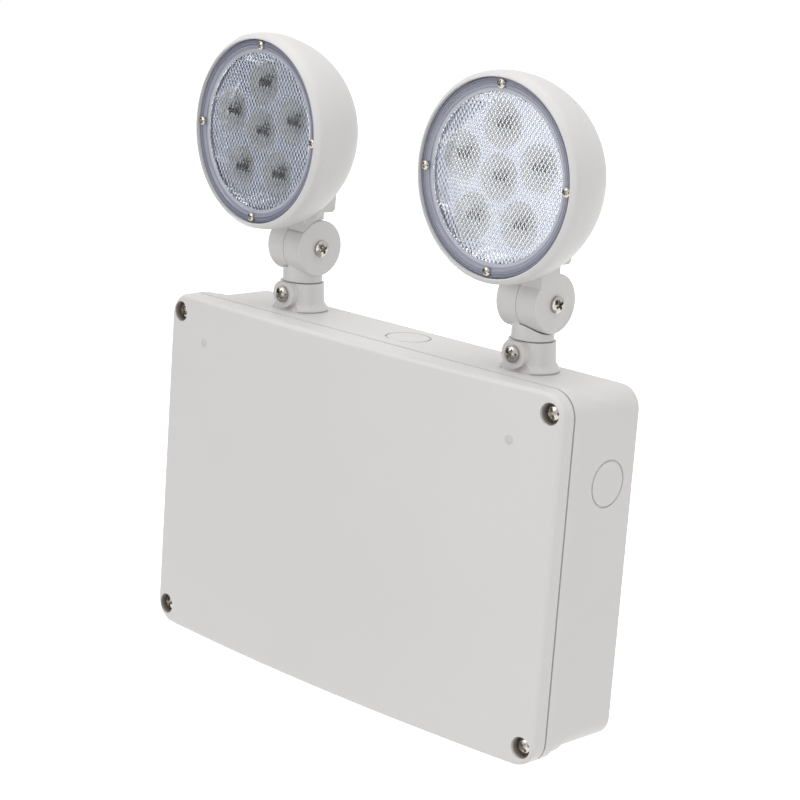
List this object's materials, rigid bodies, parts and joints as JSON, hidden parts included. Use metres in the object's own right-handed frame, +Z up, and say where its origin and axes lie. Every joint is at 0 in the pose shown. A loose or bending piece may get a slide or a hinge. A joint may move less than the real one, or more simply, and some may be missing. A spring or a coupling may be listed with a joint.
{
  "type": "emergency light",
  "caption": "Wall-mounted twin-head LED emergency light: moulded battery box with a bowed front cover and two round lamp heads on swivel and tilt knuckles.",
  "frame": {"origin": "middle of the box's back face, which lies on the wall", "axes": "+X right as seen from the room, +Y into the wall, +Z up; the front cover and the lenses face -Y"},
  "size_m": [0.255, 0.061, 0.3044],
  "materials": {
    "white_plastic": "moulded, fine satin texture",
    "black_rubber": "moulded",
    "screw_steel": "polished nickel plate",
    "battery_wrap": "heat-shrink sleeve",
    "zinc_sheet": "zinc-plated sheet",
    "board_green": "solder mask",
    "board_white": "white solder mask",
    "core_steel": "laminated, varnished",
    "terminal_grey": "moulded",
    "black_plastic": "moulded",
    "red_plastic": "moulded",
    "indicator_lens": "clear red lens",
    "clear_lens": "moulded clear polycarbonate, prismatic inside",
    "silver_reflector": "vacuum metallised plastic",
    "led_yellow": "phosphor under a silicone dome"
  },
  "bodies": {
    "housing": {"back_box": "white_plastic", "front_cover": "white_plastic", "cover_gasket": "black_rubber", "cover_screws": "screw_steel", "battery_pack": "battery_wrap", "battery_clamp": "zinc_sheet", "clamp_screws": "screw_steel", "control_board": "board_green", "board_screws": "screw_steel", "transformer": "core_steel", "terminal_block": "terminal_grey", "test_bezel": "black_plastic", "bezel_nut": "black_plastic", "test_switch": "black_plastic", "charge_indicator": "indicator_lens", "left_collar": "white_plastic", "left_collar_nut": "white_plastic", "left_lock_screw": "screw_steel", "right_collar": "white_plastic", "right_collar_nut": "white_plastic", "right_lock_screw": "screw_steel"},
    "left_swivel_body": {"left_neck": "white_plastic", "left_pivot_screw": "screw_steel"},
    "left_lamp": {"left_lamp_shell": "white_plastic", "left_pivot_nut": "screw_steel", "left_lens": "clear_lens", "left_lens_screws": "screw_steel", "left_reflector": "silver_reflector", "left_led_board": "board_white", "left_leds": "led_yellow"},
    "right_swivel_body": {"right_neck": "white_plastic", "right_pivot_screw": "screw_steel", "right_pivot_nut": "screw_steel"},
    "right_lamp": {"right_lamp_shell": "white_plastic", "right_lens": "clear_lens", "right_lens_screws": "screw_steel", "right_reflector": "silver_reflector", "right_led_board": "board_white", "right_leds": "led_yellow"},
    "button": {"test_button": "red_plastic"}
  },
  "joints": [
    {"name": "left_swivel", "type": "hinge", "parent": "housing", "child": "left_swivel_body", "pos_m": [-0.075, -0.0174, 0.0963], "axis": [0, 0, 1], "range_deg": [-90, 25]},
    {"name": "left_tilt", "type": "hinge", "parent": "left_swivel_body", "child": "left_lamp", "pos_m": [-0.075, -0.0174, 0.1143], "axis": [0.9984, -0.0558, 0], "range_deg": [-30, 40]},
    {"name": "right_swivel", "type": "hinge", "parent": "housing", "child": "right_swivel_body", "pos_m": [0.075, -0.0174, 0.0963], "axis": [0, 0, 1], "range_deg": [-25, 90]},
    {"name": "right_tilt", "type": "hinge", "parent": "right_swivel_body", "child": "right_lamp", "pos_m": [0.075, -0.0174, 0.1143], "axis": [1, 0, 0], "range_deg": [-30, 40]},
    {"name": "test_button_press", "type": "slide", "parent": "housing", "child": "button", "axis": [0, 0, 1], "range_m": [0, 0.0015], "stiffness_N_per_m": 600}
  ]
}
